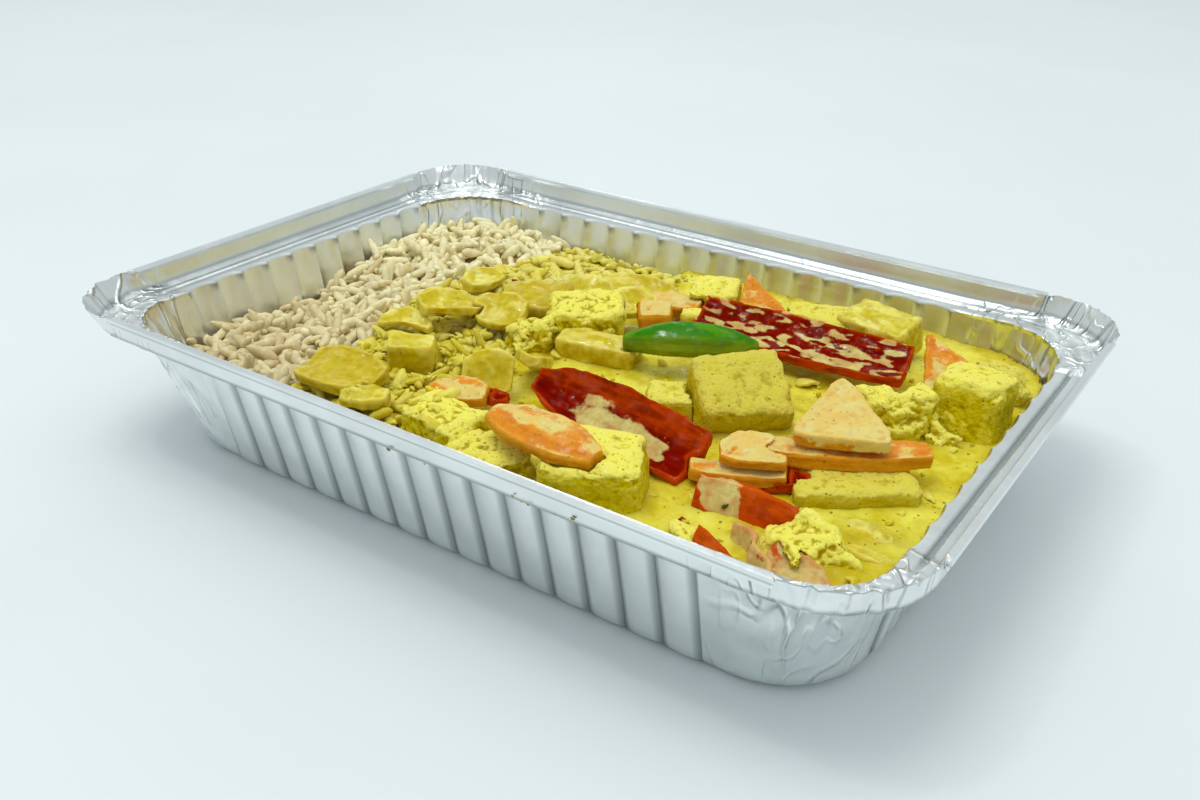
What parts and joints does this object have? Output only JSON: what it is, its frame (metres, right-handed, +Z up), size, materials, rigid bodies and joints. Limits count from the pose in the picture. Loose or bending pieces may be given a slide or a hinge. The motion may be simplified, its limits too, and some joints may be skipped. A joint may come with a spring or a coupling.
{
  "type": "foil tray meal",
  "caption": "Open oblong foil tray of takeaway food: brown rice at one end, yellow curry with tofu, peppers and carrot at the other.",
  "frame": {"origin": "centre of the tray's underside, where it stands on the table", "axes": "+X along the tray towards the curry end, +Y across the tray, +Z up"},
  "size_m": [0.22, 0.152, 0.04],
  "materials": {
    "foil": "bright rolled foil, lightly crumpled at the corners",
    "brown_rice": "moist beige grains",
    "soaked_rice": "sauce-soaked, crumbly and slightly wet",
    "curry_sauce": "creamy and glossy, thick",
    "tofu": "crumbly, glazed with sauce",
    "carrot": "wet, with a film of sauce",
    "red_pepper": "wet skin with smears of sauce",
    "green_chilli": "shiny skin",
    "onion": "soft and translucent, stained yellow"
  },
  "bodies": {
    "root": {"foil_tray": "foil", "carrot_domed": "carrot", "carrot_wedge": "carrot", "carrot_long": "carrot", "carrot_lobe": "carrot", "carrot_low": "carrot", "carrot_small": "carrot", "carrot_back": "carrot", "carrot_right": "carrot", "carrot_cube": "carrot", "carrot_stick": "carrot", "pepper_back": "red_pepper", "pepper_front": "red_pepper", "pepper_strip": "red_pepper", "pepper_corner": "red_pepper", "pepper_wedge": "red_pepper", "pepper_curl": "red_pepper", "pepper_flake": "red_pepper", "pepper_bit": "red_pepper", "chilli_slice": "green_chilli", "tofu_large": "tofu", "tofu_front": "tofu", "tofu_right": "tofu", "tofu_under": "tofu", "tofu_torn": "tofu", "tofu_rim": "tofu", "tofu_small": "tofu", "tofu_chunk": "tofu", "tofu_left": "tofu", "tofu_crumbled": "tofu", "tofu_back": "tofu", "tofu_between": "tofu", "tofu_slab": "tofu", "tofu_wall": "tofu", "tofu_corner": "tofu", "tofu_crumb": "tofu", "tofu_chip": "tofu", "onion_wedge": "onion", "onion_slab": "onion", "onion_block": "onion", "onion_chunk": "onion", "onion_broad": "onion", "onion_pointed": "onion", "onion_leaning": "onion", "onion_round": "onion", "onion_upright": "onion", "onion_petal": "onion", "onion_thin": "onion", "onion_sheet": "onion", "onion_ring": "onion", "onion_bit": "onion", "onion_near": "onion", "onion_end": "onion", "onion_sliver": "onion", "onion_sunk": "onion", "brown_rice": "brown_rice", "soaked_rice": "soaked_rice", "curry_sauce": "curry_sauce"}
  },
  "joints": []
}
